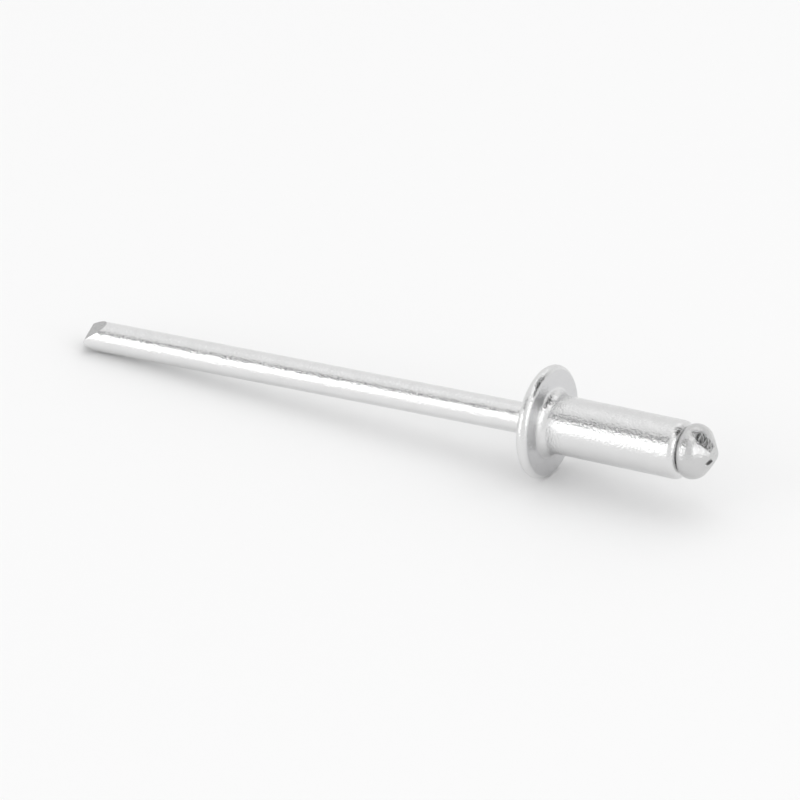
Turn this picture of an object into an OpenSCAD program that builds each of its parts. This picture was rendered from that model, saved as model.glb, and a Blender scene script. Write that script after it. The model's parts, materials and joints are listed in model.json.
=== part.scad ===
// Blind rivet with a domed head, not yet set, lying at rest on a flat surface.
// The body is a headed tube and the mandrel is a drawn wire with a formed bulb.
// Both are drawn along the body's axis, which is then tipped to the angle of rest.

/* [Shank] */
// Outside diameter of the shank
shank_d = 3.2; // [2.8:0.1:4.8]
// Length from the underside of the head to the blind end
shank_l = 8; // [5:0.5:16]
// Rounding of the outer edge at the blind end
end_round = 0.26; // [0.1:0.02:0.3]
// Fillet where the shank meets the underside of the head
root_fillet = 0.5; // [0.1:0.05:0.6]

/* [Head] */
// Outside diameter of the domed head
head_d = 6.2; // [5.6:0.1:9]
// Height of the head from its underside to the crown of the dome
head_h = 1.05; // [0.9:0.05:1.6]
// Rounding of the head's rim
rim_round = 0.34; // [0.2:0.02:0.4]

/* [Bore] */
// Clearance between the bore and the wire, on the diameter
bore_clearance = 0.24; // [0.1:0.02:0.3]
// Chamfer at both mouths of the bore
bore_chamfer = 0.08; // [0.04:0.01:0.12]

/* [Mandrel wire] */
// Diameter of the drawn wire
wire_d = 1.7; // [1.4:0.05:2]
// Length of wire that stands out of the head, to the tip of the tail
wire_l = 28.6; // [18:0.2:40]
// Share of the play in the bore that the wire takes up as it leans down at its tail
play_used = 0.8; // [0:0.05:0.95]
// Turn of that lean about the axis, from straight down toward the back
lean_turn = 13; // [-30:1:30]
// Distance from the crown to the middle of the crimp that holds the mandrel
crimp_back = 0.45; // [0.4:0.05:0.8]
// Length of the crimp's ring in the bore
crimp_w = 0.54; // [0.5:0.02:0.6]
// Height of the crimp's ring
crimp_depth = 0.18; // [0.16:0.01:0.2]
// Gap left between the bulb's seat and the body's end, where they come closest
seat_gap = 0.01; // [0:0.01:0.05]

/* [Break neck] */
// Distance from the bulb back to the middle of the break neck
neck_back = 0.9; // [0.6:0.1:1.5]
// Width of each nick of the break neck along the wire
nick_w = 0.5; // [0.3:0.05:0.6]
// Depth of each nick
nick_depth = 0.28; // [0.2:0.01:0.32]
// Number of nicks around the wire
nick_count = 4; // [2:1:6]

/* [Mandrel bulb] */
// Largest diameter of the bulb
bulb_d = 3; // [2.6:0.1:4.6]
// Rounding of the bulb's edge next to the body
bulb_edge = 0.5; // [0.3:0.05:0.6]
// Distance from the body's end to the middle of that rounding
bulb_edge_mid = 0.44; // [0.25:0.02:0.5]
// Distance from the body's end to the start of the shoulder
barrel_l = 0.5; // [0.5:0.02:1.2]
// Rounding of the shoulder
shoulder_round = 0.8; // [0.3:0.05:0.9]
// Half angle of the bulb's conical point
point_angle = 56; // [40:1:65]
// Depth of the flats that the heading tool leaves around the point
pinch_depth = 0.03; // [0.02:0.01:0.12]
// Number of those flats
pinch_count = 4; // [2:1:6]
// Turn of the first flat about the axis, from straight up toward the front
pinch_turn = 18; // [0:1:90]
// Radius of the blunt nib that stands where the flats meet
nib_r = 0.3; // [0.16:0.02:0.3]
// Height of the nib above the cut-off point of the cone
nib_proud = 0.04; // [0.04:0.01:0.16]

/* [Sheared tail] */
// Angle of the upper bevel from square across the wire
upper_angle = 61; // [45:1:65]
// Turn of the upper bevel about the wire, from straight up toward the front
upper_turn = 12; // [-30:1:40]
// Distance from the tip back to where the upper bevel starts
upper_back = 1.75; // [1.4:0.05:2.4]
// Slant of the broken face at the tip from square
face_angle = 30; // [15:1:35]
// Turn of that face about the wire, from straight up toward the front
face_turn = 29; // [0:1:60]
// Distance from the tip back to where that face starts
face_back = 0.93; // [0.7:0.05:1.1]
// Angle of the lower bevel from square
lower_angle = 60; // [45:1:65]
// Turn of the lower bevel about the wire, from straight up toward the front
lower_turn = 150; // [120:1:200]
// Distance from the tip back to where the lower bevel starts
lower_back = 1.13; // [0.8:0.05:1.3]

/* [Hidden] */
$fn = 72;

shank_r = shank_d / 2;
head_r = head_d / 2;
wire_r = wire_d / 2;
bore_r = wire_r + bore_clearance / 2;
bulb_r = bulb_d / 2;

// Length by which a cutter passes the face that it cuts
over = 1;

// The dome is one arc, tangent to the rim's rounding and touching the crown
rim_centre = [head_r - rim_round, -rim_round];
dome_r = (pow(rim_centre[0], 2) + pow(head_h, 2) - 2 * head_h * rim_round)
    / (2 * (head_h - 2 * rim_round));
dome_centre = [0, dome_r - head_h];
dome_meets_rim = dome_centre + (rim_centre - dome_centre) * dome_r / (dome_r - rim_round);

// Bulb profile, measured from the body's blind end: radius, then distance
edge_centre = [bulb_r - bulb_edge, bulb_edge_mid];
edge_seat_r = edge_centre[0] + sqrt(pow(bulb_edge, 2) - pow(bulb_edge_mid, 2));
shoulder_centre = [bulb_r - shoulder_round, barrel_l];
shoulder_meets_point = shoulder_centre + shoulder_round * [cos(point_angle), sin(point_angle)];
apex = shoulder_meets_point[1] + shoulder_meets_point[0] / tan(point_angle);
nib_base = apex - nib_r / tan(point_angle);

// The straight mandrel leans about the middle of the bore, within its play
bore_l = shank_l + head_h - 2 * bore_chamfer;
lean = asin(play_used * bore_clearance / bore_l);
bore_mid = (shank_l - head_h) / 2;
seat_from_mid = (shank_l + seat_gap - bore_mid + edge_seat_r * sin(lean)) / cos(lean);
wire_full_l = shank_l + head_h + wire_l;

// The groove that the crimp's ring presses into the wire, on the mandrel's own axis
crimp_mid = crimp_back - head_h;
crimp_offset = (bore_mid - crimp_mid) * sin(lean);
groove_r = bore_r - crimp_depth - crimp_offset - seat_gap;
groove_w = crimp_w + 2 * seat_gap + wire_d * sin(lean);
groove_from_seat = seat_from_mid + (bore_mid - crimp_mid) / cos(lean);

// Rest: the head's rim and the foot of the lower bevel touch one plane
foot_back = lower_back - wire_r * (1 - cos(180 - lower_turn)) * tan(lower_angle);
foot_from_mid = wire_full_l - seat_from_mid - foot_back;
dip = asin(sin(lean) * cos(lean_turn));
foot = [bore_mid, 0] - foot_from_mid * [cos(dip), sin(dip)] + wire_r * [sin(dip), -cos(dip)];
span = [rim_centre[1] - foot[0], rim_centre[0] + foot[1]];
rest_tilt = atan2(span[1], span[0]) + asin(rim_round / norm(span));

// Stands what is drawn along Z on the body's axis: X is up, Y is to the front, Z to the blind end
module along_body() {
    rotate([0, 90, 0]) rotate([0, 0, 180]) children();
}

// The same on the mandrel's own axis, with its zero at the bulb's seat
module along_mandrel() {
    translate([bore_mid, 0, 0])
        rotate([lean_turn, 0, 0]) rotate([0, -lean, 0]) rotate([-lean_turn, 0, 0])
            translate([seat_from_mid, 0, 0]) along_body() children();
}

// Tips the whole rivet to its angle of rest about the middle of the head's underside
module at_rest() {
    rotate([0, -rest_tilt, 0]) children();
}

module head_section() {
    intersection() {
        translate(dome_centre) circle(dome_r, $fn = 360);
        polygon([[0, 0], [rim_centre[0], 0], rim_centre, dome_meets_rim,
            [dome_meets_rim[0], -head_h - over], [0, -head_h - over]]);
    }
    translate(rim_centre) circle(rim_round);
}

module root_section() {
    difference() {
        translate([shank_r - bore_clearance, 0])
            square([root_fillet + bore_clearance, root_fillet]);
        translate([shank_r + root_fillet, root_fillet]) circle(root_fillet);
    }
}

module shank_section() {
    square([shank_r, shank_l - end_round]);
    square([shank_r - end_round, shank_l]);
    translate([shank_r - end_round, shank_l - end_round]) circle(end_round);
}

// Ring that the crimp leaves standing in the bore, with sloping sides
module crimp_section() {
    translate([0, crimp_mid])
        polygon([[bore_r, crimp_w / 2], [bore_r - crimp_depth, crimp_w / 2 - crimp_depth],
            [bore_r - crimp_depth, crimp_depth - crimp_w / 2], [bore_r, -crimp_w / 2],
            [bore_r + over, -crimp_w / 2], [bore_r + over, crimp_w / 2]]);
}

// What the bore takes out of the body: the hole, less the crimp's ring, and a chamfer at each mouth
module bore_section() {
    difference() {
        translate([0, -head_h - over]) square([bore_r, head_h + shank_l + 2 * over]);
        crimp_section();
    }
    polygon([[0, -head_h - over], [bore_r + bore_chamfer + over, -head_h - over],
        [bore_r, -head_h + bore_chamfer], [0, -head_h + bore_chamfer]]);
    polygon([[0, shank_l - bore_chamfer], [bore_r, shank_l - bore_chamfer],
        [bore_r + bore_chamfer + over, shank_l + over], [0, shank_l + over]]);
}

// Headed tube: domed head, filleted root, plain shank and a rounded blind end
module rivet_body() {
    color("silver")
    along_body() rotate_extrude() difference() {
        union() {
            head_section();
            root_section();
            shank_section();
        }
        bore_section();
    }
}

// Bulb as headed: flat seat, rounded edge, short barrel, shoulder and conical point
module bulb_section() {
    polygon([[0, 0], [edge_seat_r, 0], edge_centre, [bulb_r, bulb_edge_mid], [bulb_r, barrel_l],
        shoulder_centre, shoulder_meets_point, [nib_r, nib_base], [0, nib_base]]);
    intersection() {
        translate(edge_centre) circle(bulb_edge);
        square([bulb_r + over, barrel_l]);
    }
    intersection() {
        translate(shoulder_centre) circle(shoulder_round);
        translate([0, barrel_l]) square([bulb_r + over, shoulder_round + over]);
    }
}

// Groove round the wire for the crimp's ring
module crimp_groove() {
    translate([0, 0, -groove_from_seat]) difference() {
        cylinder(h = groove_w, r = wire_r + over, center = true);
        cylinder(h = groove_w + over, r = groove_r, center = true);
    }
}

// One nick of the break neck: a wedge across the wire, its edge inward
module nick() {
    rotate([90, 0, 0]) linear_extrude(wire_d + over, center = true)
        polygon([[wire_r - nick_depth, 0],
            [wire_r + nick_depth, nick_w], [wire_r + nick_depth, -nick_w]]);
}

// One flat beside the nib: a slab that lies along the conical point, sunk into it
module pinch_flat() {
    translate([shoulder_meets_point[0], 0, shoulder_meets_point[1]])
        rotate([0, 90 - point_angle, 0]) translate([-bulb_d, -bulb_r, -pinch_depth])
            cube([2 * bulb_d, bulb_d, bulb_r]);
}

// A cutter's half space at the tail: its edge lies across the wire, and it rises inward
module shear(back, angle, turn) {
    rotate([0, 0, -turn]) translate([wire_r, 0, -back]) rotate([0, angle, 0])
        translate([-2 * wire_d, -wire_d, 0]) cube([4 * wire_d, 2 * wire_d, 2 * wire_d]);
}

// The two bevels and the broken face that a cutter leaves at the tail
module tail_cuts() {
    translate([0, 0, -wire_full_l]) rotate([180, 0, 0]) {
        shear(upper_back, upper_angle, upper_turn);
        shear(face_back, face_angle, face_turn);
        shear(lower_back, lower_angle, lower_turn);
    }
}

// Drawn wire with its formed bulb, its break neck inside the body and its sheared tail
module mandrel() {
    color("gainsboro")
    along_mandrel() {
        difference() {
            rotate_extrude() {
                translate([0, -wire_full_l]) square([wire_r, wire_full_l]);
                bulb_section();
            }
            for (k = [0:nick_count - 1])
                rotate([0, 0, k * 360 / nick_count]) translate([0, 0, -neck_back]) nick();
            for (k = [0:pinch_count - 1])
                rotate([0, 0, pinch_turn + k * 360 / pinch_count]) pinch_flat();
            crimp_groove();
            tail_cuts();
        }
        translate([0, 0, nib_base + nib_proud - nib_r]) sphere(nib_r);
    }
}

at_rest() rivet_body();
at_rest() mandrel();
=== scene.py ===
"""A blind rivet that has not been set, lying on a pale floor in soft studio light.

The frame gives the places. Both pieces are turned here as fine closed meshes of the frame's form, so
that their curved metal reflects smoothly, with a rounder blind end, a crowned point and a crease
that the frame's don't have; the crease is darkened inside with painted shade. Sizes are in millimetres
up to the point where a mesh is placed, and metres after that.
"""

import json
import math

import bpy
from mathutils import Matrix, Vector


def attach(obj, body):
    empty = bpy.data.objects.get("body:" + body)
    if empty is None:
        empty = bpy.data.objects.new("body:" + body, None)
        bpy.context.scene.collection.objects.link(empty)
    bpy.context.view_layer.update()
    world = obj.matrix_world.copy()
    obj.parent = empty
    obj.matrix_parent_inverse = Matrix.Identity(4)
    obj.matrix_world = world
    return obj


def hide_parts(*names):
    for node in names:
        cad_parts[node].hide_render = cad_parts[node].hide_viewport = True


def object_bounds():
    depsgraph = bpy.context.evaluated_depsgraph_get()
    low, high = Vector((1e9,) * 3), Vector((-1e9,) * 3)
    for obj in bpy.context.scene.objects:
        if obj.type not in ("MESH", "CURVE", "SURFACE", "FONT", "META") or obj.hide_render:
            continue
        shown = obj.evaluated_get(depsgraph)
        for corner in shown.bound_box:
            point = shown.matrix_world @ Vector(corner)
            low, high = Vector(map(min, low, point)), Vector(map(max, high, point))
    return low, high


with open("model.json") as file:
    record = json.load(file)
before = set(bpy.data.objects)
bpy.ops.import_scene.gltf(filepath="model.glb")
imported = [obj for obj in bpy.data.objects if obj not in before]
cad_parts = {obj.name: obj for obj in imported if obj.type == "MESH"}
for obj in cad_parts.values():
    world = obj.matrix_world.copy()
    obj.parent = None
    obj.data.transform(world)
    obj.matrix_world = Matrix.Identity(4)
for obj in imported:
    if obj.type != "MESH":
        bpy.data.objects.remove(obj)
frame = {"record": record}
cad_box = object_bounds()

MM = 0.001
MOUNTS = {mount["name"]: mount for mount in frame["record"]["mounts"]}

# Body: shank, domed head and bore
SHANK_R = 1.6
SHANK_L = 8.0
END_ROUND = 0.42
ROOT_FILLET = 0.5
HEAD_R = 3.1
HEAD_H = 1.05
RIM_ROUND = 0.34
BORE_R = 0.97
BORE_CHAMFER = 0.08
CRIMP_MIDDLE = -0.6
CRIMP_W = 0.54
CRIMP_DEPTH = 0.18

# Mandrel: distances run along the wire from the bulb's seat, towards the point
WIRE_R = 0.85
WIRE_L = 37.65
BULB_R = 1.5
BULB_EDGE = 0.5
BULB_EDGE_MIDDLE = 0.44
BARREL_L = 0.5
SHOULDER_ROUND = 0.8
POINT_ANGLE = math.radians(56)
# The point is a cone crowned by this much halfway, with a low round nib at its middle
CROWN_H = 0.05
NIB_R = 0.4
NIB_PROUD = 0.04
GROOVE_MIDDLE = -8.639
GROOVE_W = 0.597
GROOVE_R = 0.693
NECK_MIDDLE = -0.9
NICK_HALF_W = 0.25
NICK_DEPTH = 0.28

# Cuts across the wire: distance from the end, slant from square, turn from up towards the front
TAIL_CUTS = ((1.75, 61, 12), (0.93, 30, 29), (1.13, 60, 150))
# The stretch of wire that the cuts reach, which is meshed finely
CUT_TAIL_L = 2.2
# Flats pressed round the point: depth, and the turn of the first
PINCH_DEPTH = 0.03
PINCH_TURN = 18
PINCH_COUNT = 4
# Crease beside the nib: its two ends as seen along the axis, up and to the front, then its size
CREASE = ((-0.113, 0.33), (-0.352, 0.605))
CREASE_HALF_W = 0.06
CREASE_H = 0.18
CREASE_FADE = 0.08
# Darker tints: the bulb's share of the sheared tail's grey, which is painted shade, and the radius where
# the flat under the head starts, which the die leaves rougher and which is tinted darker as painted shade
BULB_PAINTED_SHADE = 0.5
DULL_AND_SHADED_FROM_R = 1.95
# The mark of painted shade inside the crease, where 1 is sheared metal
CREASE_SHADE_MARK = 2.0

# Fineness of the meshes
SIDES = 192
ARC_STEP = math.radians(5)
RING_SPACING = 0.16
FINE_SPACING = 0.03
SAME_PLACE = 0.0005
# Edges: the least angle that stays sharp, how softly each cut meets the rest, and the least depth
# at which metal counts as cut
SHARP_ANGLE = math.radians(38)
CUT_SOFTNESS = 0.015
CUT_LEAST = 0.01
FLAT_SOFTNESS = 0.05
NIB_SOFTNESS = 0.02
# Unevenness that forming leaves in the surface: height of its waves and their length
BODY_WAVES = (0.006, 1.4)
MANDREL_WAVES = (0.005, 1.2)


# Profiles

def arc(centre, radius, start, end):
    """Points of an arc in a profile, from one angle to the other, in degrees from the radius."""
    start, end = math.radians(start), math.radians(end)
    steps = max(2, math.ceil(abs(end - start) / ARC_STEP))
    angles = [start + (end - start) * i / steps for i in range(steps + 1)]
    return [(centre[0] + radius * math.cos(a), centre[1] + radius * math.sin(a)) for a in angles]


def with_rings(points, spacing=RING_SPACING):
    """The profile with extra points on its long stretches, close enough to carry surface detail."""
    out = [points[0]]
    for (r0, z0), (r1, z1) in zip(points, points[1:]):
        parts = max(1, math.ceil(math.hypot(r1 - r0, z1 - z0) / spacing))
        out += [(r0 + (r1 - r0) * i / parts, z0 + (z1 - z0) * i / parts) for i in range(1, parts + 1)]
    return out


def body_profile():
    """Outline of the body's wall as a closed loop: head, root, shank, blind end and bore."""
    rim_centre = (HEAD_R - RIM_ROUND, -RIM_ROUND)
    dome_r = (rim_centre[0] ** 2 + HEAD_H ** 2 - 2 * HEAD_H * RIM_ROUND) / (2 * (HEAD_H - 2 * RIM_ROUND))
    dome_centre = (0, dome_r - HEAD_H)
    meets_rim = math.degrees(math.atan2(rim_centre[1] - dome_centre[1], rim_centre[0]))
    crown = -math.degrees(math.acos((BORE_R + BORE_CHAMFER) / dome_r))
    crimp_in = BORE_R - CRIMP_DEPTH
    half = CRIMP_W / 2
    points = arc(dome_centre, dome_r, crown, meets_rim)
    points += arc(rim_centre, RIM_ROUND, meets_rim, 90)[1:]
    points += arc((SHANK_R + ROOT_FILLET, ROOT_FILLET), ROOT_FILLET, 270, 180)
    points += arc((SHANK_R - END_ROUND, SHANK_L - END_ROUND), END_ROUND, 0, 90)
    points += [
        (BORE_R + BORE_CHAMFER, SHANK_L),
        (BORE_R, SHANK_L - BORE_CHAMFER),
        (BORE_R, CRIMP_MIDDLE + half),
        (crimp_in, CRIMP_MIDDLE + half - CRIMP_DEPTH),
        (crimp_in, CRIMP_MIDDLE - half + CRIMP_DEPTH),
        (BORE_R, CRIMP_MIDDLE - half),
        (BORE_R, BORE_CHAMFER - HEAD_H),
        points[0],
    ]
    return with_rings(points)


def mandrel_profile():
    """Outline of the mandrel from the middle of its tail to its point, before any cut."""
    edge_centre = (BULB_R - BULB_EDGE, BULB_EDGE_MIDDLE)
    seat = -math.degrees(math.asin(BULB_EDGE_MIDDLE / BULB_EDGE))
    half = GROOVE_W / 2
    tail = with_rings([(0, -WIRE_L), (WIRE_R, -WIRE_L), (WIRE_R, CUT_TAIL_L - WIRE_L)], FINE_SPACING)
    wire = with_rings([
        tail[-1],
        (WIRE_R, GROOVE_MIDDLE - half),
        (GROOVE_R, GROOVE_MIDDLE - half),
        (GROOVE_R, GROOVE_MIDDLE + half),
        (WIRE_R, GROOVE_MIDDLE + half),
        (WIRE_R, NECK_MIDDLE - NICK_HALF_W),
        (WIRE_R, NECK_MIDDLE),
        (WIRE_R, NECK_MIDDLE + NICK_HALF_W),
        (WIRE_R, 0),
    ])
    bulb = arc(edge_centre, BULB_EDGE, seat, 0)
    bulb += arc((BULB_R - SHOULDER_ROUND, BARREL_L), SHOULDER_ROUND, 0, math.degrees(POINT_ANGLE))
    last_r, last_z = bulb[-1]
    apex = (0, last_z + last_r / math.tan(POINT_ANGLE))
    point = with_rings([bulb[-1], apex], FINE_SPACING)
    return tail + wire[1:] + with_rings([wire[-1], *bulb])[1:] + point[1:]


# Node trees

def add(tree, kind, *values, **settings):
    """Adds a node and returns it, or the result of a maths operation if kind is one, in capitals.

    values fill the inputs in order, and a dict fills them by name or number, from sockets or plain values.
    """
    is_maths = kind.isupper()
    node = tree.nodes.new("ShaderNodeMath" if is_maths else kind)
    if is_maths:
        node.operation = kind
    for key, value in settings.items():
        setattr(node, key, value)
    filled = values[0] if values and isinstance(values[0], dict) else dict(enumerate(values))
    for key, value in filled.items():
        if isinstance(value, bpy.types.NodeSocket):
            tree.links.new(value, node.inputs[key])
        else:
            node.inputs[key].default_value = value
    return node.outputs[0] if is_maths else node


def shape_tree(name, inputs):
    """An empty tree that takes and gives geometry, with named inputs for its sizes."""
    tree = bpy.data.node_groups.new(name, "GeometryNodeTree")
    tree.interface.new_socket("Geometry", in_out="INPUT", socket_type="NodeSocketGeometry")
    tree.interface.new_socket("Geometry", in_out="OUTPUT", socket_type="NodeSocketGeometry")
    for title, kind in inputs.items():
        tree.interface.new_socket(title, in_out="INPUT", socket_type=kind)
    return tree, tree.nodes.new("NodeGroupInput"), tree.nodes.new("NodeGroupOutput")


def lathe_tree():
    """Turns a profile, given as a line of points in X and Z, about the Z axis."""
    tree, given, result = shape_tree("turned on a lathe", {"Sides": "NodeSocketInt"})
    profile = given.outputs["Geometry"]
    sides = given.outputs["Sides"]
    rings = add(tree, "GeometryNodeAttributeDomainSize", {0: profile}).outputs["Point Count"]
    last_ring = add(tree, "SUBTRACT", rings, 1)
    columns = add(tree, "ADD", sides, 1)
    grid = add(tree, "GeometryNodeMeshGrid", {
        "Size X": last_ring, "Size Y": sides, "Vertices X": rings, "Vertices Y": columns})
    place = add(tree, "ShaderNodeSeparateXYZ", {0: add(tree, "GeometryNodeInputPosition").outputs[0]})
    ring = add(tree, "ROUND", add(tree, "ADD", place.outputs["X"], add(tree, "DIVIDE", last_ring, 2)))
    side = add(tree, "ADD", place.outputs["Y"], add(tree, "DIVIDE", sides, 2))
    turn = add(tree, "MULTIPLY", add(tree, "DIVIDE", side, sides), 2 * math.pi)
    point = add(tree, "GeometryNodeSampleIndex", {
        "Geometry": profile, "Value": add(tree, "GeometryNodeInputPosition").outputs[0], "Index": ring},
        data_type="FLOAT_VECTOR").outputs["Value"]
    point = add(tree, "ShaderNodeSeparateXYZ", {0: point})
    radius = point.outputs["X"]
    turned = add(tree, "ShaderNodeCombineXYZ", {
        "X": add(tree, "MULTIPLY", radius, add(tree, "COSINE", turn)),
        "Y": add(tree, "MULTIPLY", radius, add(tree, "SINE", turn)),
        "Z": point.outputs["Z"]}).outputs[0]
    placed = add(tree, "GeometryNodeSetPosition", {"Geometry": grid.outputs["Mesh"], "Position": turned})
    merged = add(tree, "GeometryNodeMergeByDistance", {
        "Geometry": placed.outputs[0], "Distance": SAME_PLACE})
    outward = add(tree, "GeometryNodeFlipFaces", {0: merged.outputs[0]})
    tree.links.new(outward.outputs[0], result.inputs[0])
    return tree


def faces_tree():
    """Marks the flat under the head: the heading die leaves it rougher than the tumbled rest, and its darker
    tint is painted shade.
    """
    tree, given, result = shape_tree("die-pressed face and painted shade", {"Inner radius": "NodeSocketFloat"})
    at = add(tree, "ShaderNodeSeparateXYZ", {0: add(tree, "GeometryNodeInputPosition").outputs[0]}).outputs
    radius_2 = add(tree, "MULTIPLY_ADD", at["X"], at["X"], add(tree, "MULTIPLY", at["Y"], at["Y"]))
    outside = add(tree, "GREATER_THAN", add(tree, "SQRT", radius_2), given.outputs["Inner radius"])
    level = add(tree, "LESS_THAN", add(tree, "ABSOLUTE", at["Z"]), FINE_SPACING)
    dull_and_shade = add(tree, "MULTIPLY", outside, level)
    marked = add(tree, "GeometryNodeStoreNamedAttribute", {
        "Geometry": given.outputs["Geometry"], "Name": "dulled_and_shaded", "Value": dull_and_shade},
        data_type="FLOAT", domain="POINT")
    tree.links.new(marked.outputs[0], result.inputs[0])
    return tree


def cuts_tree():
    """Cuts the mandrel's tail, its break neck and the flats of its point, with the nib and crease."""
    kinds = {"Wire radius": "NodeSocketFloat", "Wire length": "NodeSocketFloat"}
    for i in range(len(TAIL_CUTS)):
        kinds |= {f"Cut {i + 1} back": "NodeSocketFloat", f"Cut {i + 1} slant": "NodeSocketFloat"}
        kinds |= {f"Cut {i + 1} turn": "NodeSocketFloat"}
    kinds |= {"Cut softness": "NodeSocketFloat", "Flat softness": "NodeSocketFloat"}
    kinds |= {"Flat depth": "NodeSocketFloat", "Crease height": "NodeSocketFloat"}
    kinds |= {"Flat turn": "NodeSocketFloat", "Nick depth": "NodeSocketFloat"}
    kinds |= {"Crown height": "NodeSocketFloat"}
    tree, given, result = shape_tree("cut and pressed", kinds)
    size = given.outputs
    at = add(tree, "ShaderNodeSeparateXYZ", {0: add(tree, "GeometryNodeInputPosition").outputs[0]}).outputs
    wire_r = size["Wire radius"]

    def towards(turn):
        """Distance out from the axis along a direction, which is turned from up towards the front."""
        across = add(tree, "MULTIPLY", at["X"], add(tree, "COSINE", turn))
        return add(tree, "MULTIPLY_ADD", at["Y"], add(tree, "SINE", turn), across)

    # Break neck: the nicks are flat wedges, so the wall keeps a square core there
    from_neck = add(tree, "ABSOLUTE", add(tree, "SUBTRACT", at["Z"], NECK_MIDDLE))
    core = add(tree, "SUBTRACT", wire_r, size["Nick depth"])
    slope = add(tree, "DIVIDE", size["Nick depth"], NICK_HALF_W)
    core = add(tree, "MULTIPLY_ADD", from_neck, slope, core)
    widest = add(tree, "MAXIMUM", add(tree, "ABSOLUTE", at["X"]), add(tree, "ABSOLUTE", at["Y"]))
    widest = add(tree, "MAXIMUM", widest, SAME_PLACE)
    squeeze = add(tree, "MINIMUM", add(tree, "DIVIDE", core, widest), 1.0)

    height = at["Z"]
    for i in range(len(TAIL_CUTS)):
        inward = add(tree, "SUBTRACT", wire_r, towards(size[f"Cut {i + 1} turn"]))
        back = add(tree, "SUBTRACT", size[f"Cut {i + 1} back"], size["Wire length"])
        drop = add(tree, "MULTIPLY", inward, add(tree, "TANGENT", size[f"Cut {i + 1} slant"]))
        height = add(tree, "SMOOTH_MAX", height, add(tree, "SUBTRACT", back, drop), size["Cut softness"])

    sheared = add(tree, "GREATER_THAN", height, add(tree, "ADD", at["Z"], CUT_LEAST))

    # Point: flats that lie along the cone, its slight crown, then the cut-off and the nib
    meet_r = BULB_R - SHOULDER_ROUND + SHOULDER_ROUND * math.cos(POINT_ANGLE)
    meet_z = BARREL_L + SHOULDER_ROUND * math.sin(POINT_ANGLE)
    for k in range(PINCH_COUNT):
        turn = add(tree, "ADD", size["Flat turn"], 2 * math.pi * k / PINCH_COUNT)
        past = add(tree, "SUBTRACT", towards(turn), meet_r)
        fall = add(tree, "MULTIPLY", past, -1 / math.tan(POINT_ANGLE))
        sunk = add(tree, "MULTIPLY", size["Flat depth"], -1 / math.sin(POINT_ANGLE))
        flat = add(tree, "ADD", add(tree, "ADD", fall, sunk), meet_z)
        height = add(tree, "SMOOTH_MIN", height, flat, size["Flat softness"])
    radius_2 = add(tree, "ADD", add(tree, "POWER", at["X"], 2.0), add(tree, "POWER", at["Y"], 2.0))
    share = add(tree, "MINIMUM", add(tree, "DIVIDE", add(tree, "SQRT", radius_2), meet_r), 1.0)
    bulge = add(tree, "MULTIPLY", add(tree, "MULTIPLY", share, add(tree, "SUBTRACT", 1.0, share)), 4.0)
    on_point = add(tree, "GREATER_THAN", at["Z"], BARREL_L)
    bulge = add(tree, "MULTIPLY", bulge, on_point)
    height = add(tree, "MULTIPLY_ADD", bulge, size["Crown height"], height)
    nib_base = meet_z + (meet_r - NIB_R) / math.tan(POINT_ANGLE)
    height = add(tree, "MINIMUM", height, nib_base)
    inside = add(tree, "MAXIMUM", add(tree, "SUBTRACT", NIB_R ** 2, radius_2), 0.0)
    nib = add(tree, "ADD", add(tree, "SQRT", inside), nib_base + NIB_PROUD - NIB_R)
    on_nib = add(tree, "GREATER_THAN", inside, 0.0)
    on_nib = add(tree, "MULTIPLY", on_nib, add(tree, "GREATER_THAN", at["Z"], 0.0))
    nib_height = add(tree, "SMOOTH_MAX", height, nib, NIB_SOFTNESS)
    height = add(tree, "ShaderNodeMix", {"Factor": on_nib, 2: height, 3: nib_height}).outputs[0]

    # Crease beside the nib: a fold, sunk along one side of its line and raised along the other
    (start_x, start_y), (end_x, end_y) = CREASE
    run = math.hypot(end_x - start_x, end_y - start_y)
    along_x, along_y = (end_x - start_x) / run, (end_y - start_y) / run
    from_x = add(tree, "SUBTRACT", at["X"], start_x)
    from_y = add(tree, "SUBTRACT", at["Y"], start_y)
    along = add(tree, "MULTIPLY_ADD", from_y, along_y, add(tree, "MULTIPLY", from_x, along_x))
    across = add(tree, "MULTIPLY_ADD", from_y, along_x, add(tree, "MULTIPLY", from_x, -along_y))
    across = add(tree, "DIVIDE", across, CREASE_HALF_W)
    bell = add(tree, "EXPONENT", add(tree, "MULTIPLY", add(tree, "MULTIPLY", across, across), -1.0))
    fade_in = add(tree, "ShaderNodeMapRange", {
        "Value": along, "From Min": -CREASE_FADE, "From Max": CREASE_FADE},
        interpolation_type="SMOOTHSTEP").outputs[0]
    fade_out = add(tree, "ShaderNodeMapRange", {
        "Value": along, "From Min": run + CREASE_FADE, "From Max": run - CREASE_FADE},
        interpolation_type="SMOOTHSTEP").outputs[0]
    fade = add(tree, "MULTIPLY", add(tree, "MULTIPLY", fade_in, fade_out), on_point)
    crease = add(tree, "MULTIPLY", bell, fade)
    fold = add(tree, "MULTIPLY", across, crease)
    height = add(tree, "MULTIPLY_ADD", fold, size["Crease height"], height)

    # Darker metal: the bulb a little, as painted shade, the sheared tail fully, and the crease as painted
    # shade
    on_bulb = add(tree, "MULTIPLY", add(tree, "GREATER_THAN", at["Z"], -SAME_PLACE), BULB_PAINTED_SHADE)
    dull_and_shade = add(tree, "MAXIMUM", add(tree, "MAXIMUM", on_bulb, sheared), add(tree, "MULTIPLY", crease, CREASE_SHADE_MARK))

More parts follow.
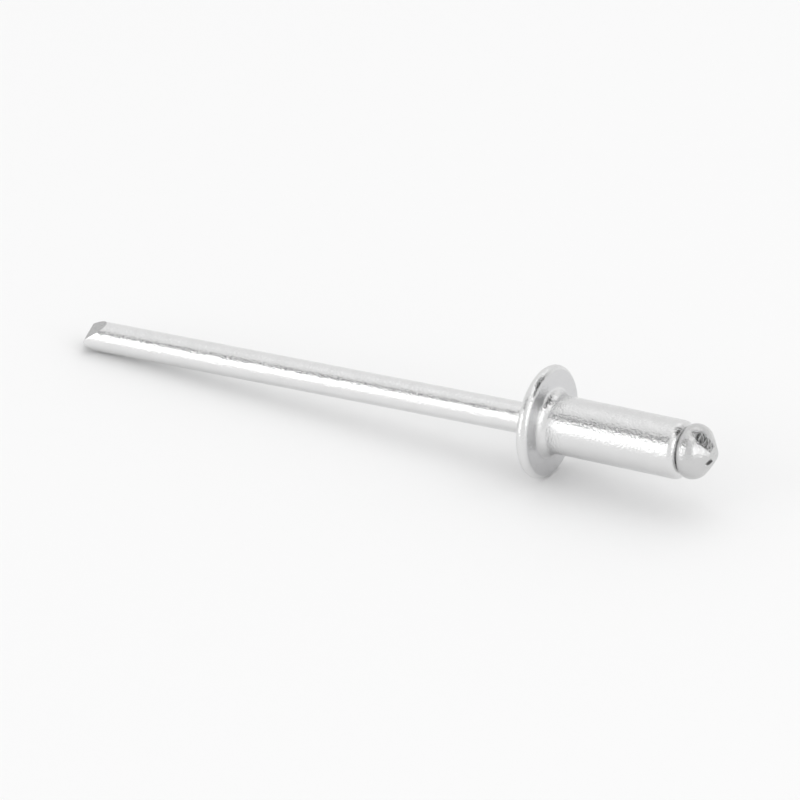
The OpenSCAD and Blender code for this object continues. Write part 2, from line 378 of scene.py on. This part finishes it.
    shaped = add(tree, "ShaderNodeCombineXYZ", {
        "X": add(tree, "MULTIPLY", at["X"], squeeze),
        "Y": add(tree, "MULTIPLY", at["Y"], squeeze),
        "Z": height}).outputs[0]
    marked = add(tree, "GeometryNodeStoreNamedAttribute", {
        "Geometry": size["Geometry"], "Name": "dulled_and_shaded", "Value": dull_and_shade}, data_type="FLOAT", domain="POINT")
    placed = add(tree, "GeometryNodeSetPosition", {"Geometry": marked.outputs[0], "Position": shaped})
    merged = add(tree, "GeometryNodeMergeByDistance", {
        "Geometry": placed.outputs[0], "Distance": SAME_PLACE})
    tree.links.new(merged.outputs[0], result.inputs[0])
    return tree


def finish_tree():
    """Gives a turned piece the faint unevenness of formed metal, its sharp edges and its material."""
    tree, given, result = shape_tree("formed surface", {
        "Unevenness": "NodeSocketFloat", "Wave length": "NodeSocketFloat",
        "Sharp angle": "NodeSocketFloat", "Material": "NodeSocketMaterial"})
    size = given.outputs
    place = add(tree, "GeometryNodeInputPosition").outputs[0]
    waves = add(tree, "ShaderNodeTexNoise", {
        "Vector": place, "Scale": add(tree, "DIVIDE", 1.0, size["Wave length"]), "Detail": 2.0}).outputs[0]
    lift = add(tree, "MULTIPLY", add(tree, "SUBTRACT", waves, 0.5), size["Unevenness"])
    push = add(tree, "ShaderNodeVectorMath", {
        0: add(tree, "GeometryNodeInputNormal").outputs[0], "Scale": lift}, operation="SCALE").outputs[0]
    moved = add(tree, "GeometryNodeSetPosition", {"Geometry": size["Geometry"], "Offset": push}).outputs[0]
    angle = add(tree, "GeometryNodeInputMeshEdgeAngle").outputs["Unsigned Angle"]
    blunt = add(tree, "LESS_THAN", angle, size["Sharp angle"])
    faces = add(tree, "GeometryNodeSetShadeSmooth", {"Geometry": moved, "Shade Smooth": True}, domain="FACE")
    edges = add(tree, "GeometryNodeSetShadeSmooth", {
        "Geometry": faces.outputs[0], "Shade Smooth": blunt}, domain="EDGE")
    real = add(tree, "GeometryNodeRealizeInstances", {0: edges.outputs[0]})
    dressed = add(tree, "GeometryNodeSetMaterial", {
        "Geometry": real.outputs[0], "Material": size["Material"]})
    tree.links.new(dressed.outputs[0], result.inputs[0])
    return tree


def apply_tree(obj, tree, values):
    """Puts a node tree on an object as a modifier, with its inputs set by their identifiers."""
    modifier = obj.modifiers.new(tree.name, "NODES")
    modifier.node_group = tree
    sockets = {s.name: s.identifier for s in tree.interface.items_tree if s.in_out == "INPUT"}
    for title, value in values.items():
        modifier[sockets[title]] = value


def made_piece(name, profile, trees, placing):
    """Runs a profile through the trees, bakes the result and puts it in place in metres."""
    line = bpy.data.meshes.new(name + " profile")
    edges = [(i, i + 1) for i in range(len(profile) - 1)]
    line.from_pydata([(r, 0, z) for r, z in profile], edges, [])
    source = bpy.data.objects.new(name + " source", line)
    bpy.context.scene.collection.objects.link(source)
    for tree, values in trees:
        apply_tree(source, tree, values)
    bpy.context.view_layer.update()
    evaluated = source.evaluated_get(bpy.context.evaluated_depsgraph_get())
    mesh = bpy.data.meshes.new_from_object(evaluated)
    bpy.data.objects.remove(source)
    mesh.name = name
    mesh.transform(placing @ Matrix.Scale(MM, 4))
    piece = bpy.data.objects.new(name, mesh)
    bpy.context.scene.collection.objects.link(piece)
    return piece


# Finishes

def linear(hex_colour):
    """The linear colour of an sRGB hex value."""
    channels = [int(hex_colour[i:i + 2], 16) / 255 for i in (1, 3, 5)]
    return tuple(c / 12.92 if c <= 0.04045 else ((c + 0.055) / 1.055) ** 2.4 for c in channels) + (1.0,)


def metal(name, colours, roughness, grain_mm, ripple_mm):
    """A bare metal: fine grain over a longer ripple, with faint patches.

    colours are the bright metal, its duller patches and the metal where it was pressed or cut, which also
    serves as painted shade on the bulb and the flat under the head.
    grain_mm and ripple_mm are each a width and a depth.
    """
    bright, patchy, worked_and_shaded = (linear(colour) for colour in colours)
    crease_shade = linear(CREASE_SHADE_COLOUR)
    material = bpy.data.materials.new(name)
    material.use_nodes = True
    tree = material.node_tree
    shader = tree.nodes["Principled BSDF"]
    place = add(tree, "ShaderNodeTexCoord").outputs["Object"]
    grain = add(tree, "ShaderNodeTexNoise", {
        "Vector": place, "Scale": 1 / (grain_mm[0] * MM), "Detail": 3.0, "Roughness": 0.6}).outputs[0]
    ripple = add(tree, "ShaderNodeTexNoise", {
        "Vector": place, "Scale": 1 / (ripple_mm[0] * MM), "Detail": 2.0}).outputs[0]
    patches = add(tree, "ShaderNodeTexNoise", {
        "Vector": place, "Scale": 1 / (PATCH_MM * MM), "Detail": 4.0, "Roughness": 0.65}).outputs[0]
    height = add(tree, "MULTIPLY", grain, grain_mm[1] * MM)
    height = add(tree, "MULTIPLY_ADD", ripple, ripple_mm[1] * MM, height)
    bump = add(tree, "ShaderNodeBump", {"Height": height, "Strength": 1.0, "Distance": 1.0})
    dulled_and_shaded = add(tree, "ShaderNodeAttribute", attribute_name="dulled_and_shaded").outputs["Fac"]
    tint = add(tree, "ShaderNodeMix", {0: patches, 6: bright, 7: patchy}, data_type="RGBA").outputs[2]
    # The sheared tail's own grey, and painted shade on the bulb and the flat under the head
    tint = add(tree, "ShaderNodeMix", {0: dulled_and_shaded, 6: tint, 7: worked_and_shaded}, data_type="RGBA").outputs[2]
    # Painted shade inside the crease, where the mark rises above 1
    crease_shade_share = add(tree, "ShaderNodeMapRange", {"Value": dulled_and_shaded, "From Min": 1.0, "From Max": CREASE_SHADE_MARK}).outputs[0]
    tint = add(tree, "ShaderNodeMix", {0: crease_shade_share, 6: tint, 7: crease_shade}, data_type="RGBA").outputs[2]
    spread = add(tree, "ShaderNodeMapRange", {
        "Value": patches, "From Min": PATCH_RANGE[0], "From Max": PATCH_RANGE[1],
        "To Min": roughness * SHINE_RANGE[0], "To Max": roughness * SHINE_RANGE[1]}).outputs[0]
    matt = add(tree, "ShaderNodeMapRange", {"Value": dulled_and_shaded, "From Min": BULB_PAINTED_SHADE}).outputs[0]
    spread = add(tree, "ShaderNodeMix", {0: matt, 2: spread, 3: WORKED_ROUGHNESS}).outputs[0]
    shader.inputs["Metallic"].default_value = 1.0
    tree.links.new(tint, shader.inputs["Base Color"])
    tree.links.new(spread, shader.inputs["Roughness"])
    tree.links.new(bump.outputs[0], shader.inputs["Normal"])
    return material


PATCH_MM = 0.9
PATCH_RANGE = (0.35, 0.75)
SHINE_RANGE = (0.6, 1.6)
WORKED_ROUGHNESS = 0.22
# Painted shade: the dark colour inside the crease
CREASE_SHADE_COLOUR = "#484848"
# The real grain is finer than a pixel, so it is drawn 0.13 mm wide to show as it glitters
GRAIN_MM = (0.13, 0.03)
RIPPLE_MM = (0.5, 0.012)

# Headed aluminium, tumbled bright: pale reflections with edges that the grain breaks up.
# The flat under the head is rougher from the heading die and slightly darker as painted shade.
tumbled_aluminium = metal(
    "tumbled aluminium", ("#E8E8E8", "#DEDEDE", "#D6D6D7"), 0.1, GRAIN_MM, RIPPLE_MM)
# Drawn steel wire with bright zinc plating: a whiter metal with the same glitter.
# The sheared tail shows grey bare steel, the headed bulb is tinted between the two as painted shade,
# and the crease is dark inside with painted shade.
zinc_plated_steel = metal(
    "bright zinc plated steel", ("#EFEFEF", "#E3E3E3", "#B0B0B0"), 0.1, GRAIN_MM, RIPPLE_MM)

# Places

def standing(direction, origin):
    """Places a piece drawn with X up, Y to the front and Z along the direction."""
    along = Vector(direction).normalized()
    up = (Vector((0, 0, 1)) - along * along.z).normalized()
    front = along.cross(up)
    turned = Matrix((up, front, along)).transposed().to_4x4()
    return Matrix.Translation(origin) @ turned


body_place = standing(MOUNTS["under_head"]["axis"], (0, 0, 0))
wire_mount = MOUNTS["mandrel_wire"]
to_point = -Vector(wire_mount["axis"])
tail_end = Vector(wire_mount["pos_m"]) - to_point * wire_mount["dims"]["length_mm"] / 2 * MM
mandrel_place = standing(to_point, tail_end + to_point * WIRE_L * MM)

# Pieces

lathe = lathe_tree()
faces = faces_tree()
cuts = cuts_tree()
formed = finish_tree()

rivet_body = made_piece("domed_head_body", body_profile(), [
    (lathe, {"Sides": SIDES}),
    # the flat under the head is rougher, and tinted darker as painted shade
    (faces, {"Inner radius": DULL_AND_SHADED_FROM_R}),
    (formed, {"Unevenness": BODY_WAVES[0], "Wave length": BODY_WAVES[1],
              "Sharp angle": SHARP_ANGLE, "Material": tumbled_aluminium}),
], body_place)

cut_values = {
    "Wire radius": WIRE_R,
    "Wire length": WIRE_L,
    "Cut softness": CUT_SOFTNESS,
    "Flat softness": FLAT_SOFTNESS,
    "Flat depth": PINCH_DEPTH,
    "Flat turn": math.radians(PINCH_TURN),
    "Nick depth": NICK_DEPTH,
    "Crease height": CREASE_H,
    "Crown height": CROWN_H,
}
for i, (back, slant, turn) in enumerate(TAIL_CUTS):
    cut_values |= {f"Cut {i + 1} back": back, f"Cut {i + 1} slant": math.radians(slant)}
    cut_values |= {f"Cut {i + 1} turn": math.radians(turn)}
mandrel = made_piece("headed_mandrel", mandrel_profile(), [
    (lathe, {"Sides": SIDES}),
    (cuts, cut_values),
    (formed, {"Unevenness": MANDREL_WAVES[0], "Wave length": MANDREL_WAVES[1],
              "Sharp angle": SHARP_ANGLE, "Material": zinc_plated_steel}),
], mandrel_place)

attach(rivet_body, "root")
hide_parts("rivet_body")
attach(mandrel, "root")
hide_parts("mandrel")

# Camera

AZIMUTH = 29.1
ELEVATION = 28.79
DISTANCE = 0.4182
PIXELS_PER_MM = 18.747
AIM_RIGHT_MM = 8.146
AIM_DOWN_MM = 1.211
PICTURE_WIDTH = 800
SENSOR_WIDTH = 36


def direction(azimuth, elevation):
    """Direction out from the rivet, in degrees to the right of the front and degrees up."""
    azimuth, elevation = math.radians(azimuth), math.radians(elevation)
    level = math.cos(elevation)
    return Vector((math.sin(azimuth) * level, -math.cos(azimuth) * level, math.sin(elevation)))


to_camera = direction(AZIMUTH, ELEVATION)
picture_right = direction(AZIMUTH + 90, 0)
picture_up = to_camera.cross(picture_right)
aim = (picture_up * AIM_DOWN_MM - picture_right * AIM_RIGHT_MM) * MM

camera_data = bpy.data.cameras.new("camera")
camera_data.sensor_width = SENSOR_WIDTH
camera_data.lens = SENSOR_WIDTH * PIXELS_PER_MM / MM * DISTANCE / PICTURE_WIDTH
camera_data.clip_start = 0.01
camera_data.clip_end = 10
camera = bpy.data.objects.new("camera", camera_data)
bpy.context.scene.collection.objects.link(camera)
camera.matrix_world = Matrix.Translation(aim + to_camera * DISTANCE) @ Matrix(
    (picture_right, picture_up, to_camera)).transposed().to_4x4()
bpy.context.scene.camera = camera

# Floor, light and background

ROOM_LIGHT = 0.88
FLOOR_HALF = 0.6
CORNERS = ((-1, -1), (1, -1), (1, 1), (-1, 1))


def paper(name, colour, roughness):
    """Matt paper: it shows its own colour, with no gloss."""
    material = bpy.data.materials.new(name)
    material.use_nodes = True
    shader = material.node_tree.nodes["Principled BSDF"]
    shader.inputs["Base Color"].default_value = linear(colour)
    shader.inputs["Roughness"].default_value = roughness
    return material


def panel(name, corners, material):
    """A flat panel that is part of the studio and not of the rivet."""
    mesh = bpy.data.meshes.new(name)
    mesh.from_pydata(corners, [], [(0, 1, 2, 3)])
    mesh.materials.append(material)
    made = bpy.data.objects.new(name, mesh)
    bpy.context.scene.collection.objects.link(made)
    return made


floor_height = cad_box[0][2]
panel(
    "floor", [(x * FLOOR_HALF, y * FLOOR_HALF, floor_height) for x, y in CORNERS],
    paper("white paper", "#F2F2F2", 0.9))


def softbox(name, azimuth, elevation, distance, width, height, radiance):
    """A soft area lamp that looks at the rivet: its radiance is what the metal shows of it.

    azimuth and elevation are in degrees, and distance, width and height in metres.
    """
    data = bpy.data.lights.new(name, "AREA")
    data.shape = "RECTANGLE"
    data.size = width
    data.size_y = height
    data.energy = radiance * math.pi * width * height
    lamp = bpy.data.objects.new(name, data)
    bpy.context.scene.collection.objects.link(lamp)
    towards = direction(azimuth, elevation)
    lamp.location = towards * distance
    lamp.rotation_euler = towards.to_track_quat("Z", "Y").to_euler()
    lamp.visible_camera = False


softbox("overhead softbox", 150, 72, 0.5, 0.62, 0.5, 0.5)
softbox("left front softbox", -36, 17, 0.5, 0.3, 0.34, 1.1)
softbox("right softbox", 75, 22, 0.5, 0.22, 0.3, 1.2)


def black_card(name, towards, along, distance, length, width):
    """A dark card that only the metal sees: it draws a dark line between two lights.

    towards points from the rivet to the card, along its length; the sizes are in metres.
    """
    towards = Vector(towards).normalized()
    along = Vector(along).normalized() * length / 2
    across = towards.cross(along).normalized() * width / 2
    corners = [towards * distance + along * a + across * b for a, b in CORNERS]
    card = panel(name, corners, black_paper)
    card.visible_camera = False
    card.visible_diffuse = False
    card.visible_shadow = False


black_paper = paper("black card", "#101010", 1.0)
black_card("left front card", (-0.494, -0.545, 0.672), (0.869, -0.263, 0.42), 0.4, 0.3, 0.1)
black_card("right rear card", (0.692, 0.329, 0.643), (-0.545, -0.289, 0.788), 0.4, 0.245, 0.25)
black_card("overhead card", (0.2, 0.33, 0.92), (-0.97, -0.05, 0.22), 0.4, 0.36, 0.14)

world = bpy.data.worlds.new("white studio")
bpy.context.scene.world = world
world.use_nodes = True
tree = world.node_tree
tree.nodes.clear()
walls = add(tree, "ShaderNodeBackground", {"Color": linear("#FFFFFF"), "Strength": ROOM_LIGHT})
add(tree, "ShaderNodeOutputWorld", {0: walls.outputs[0]})

bpy.context.scene.view_settings.view_transform = "Standard"
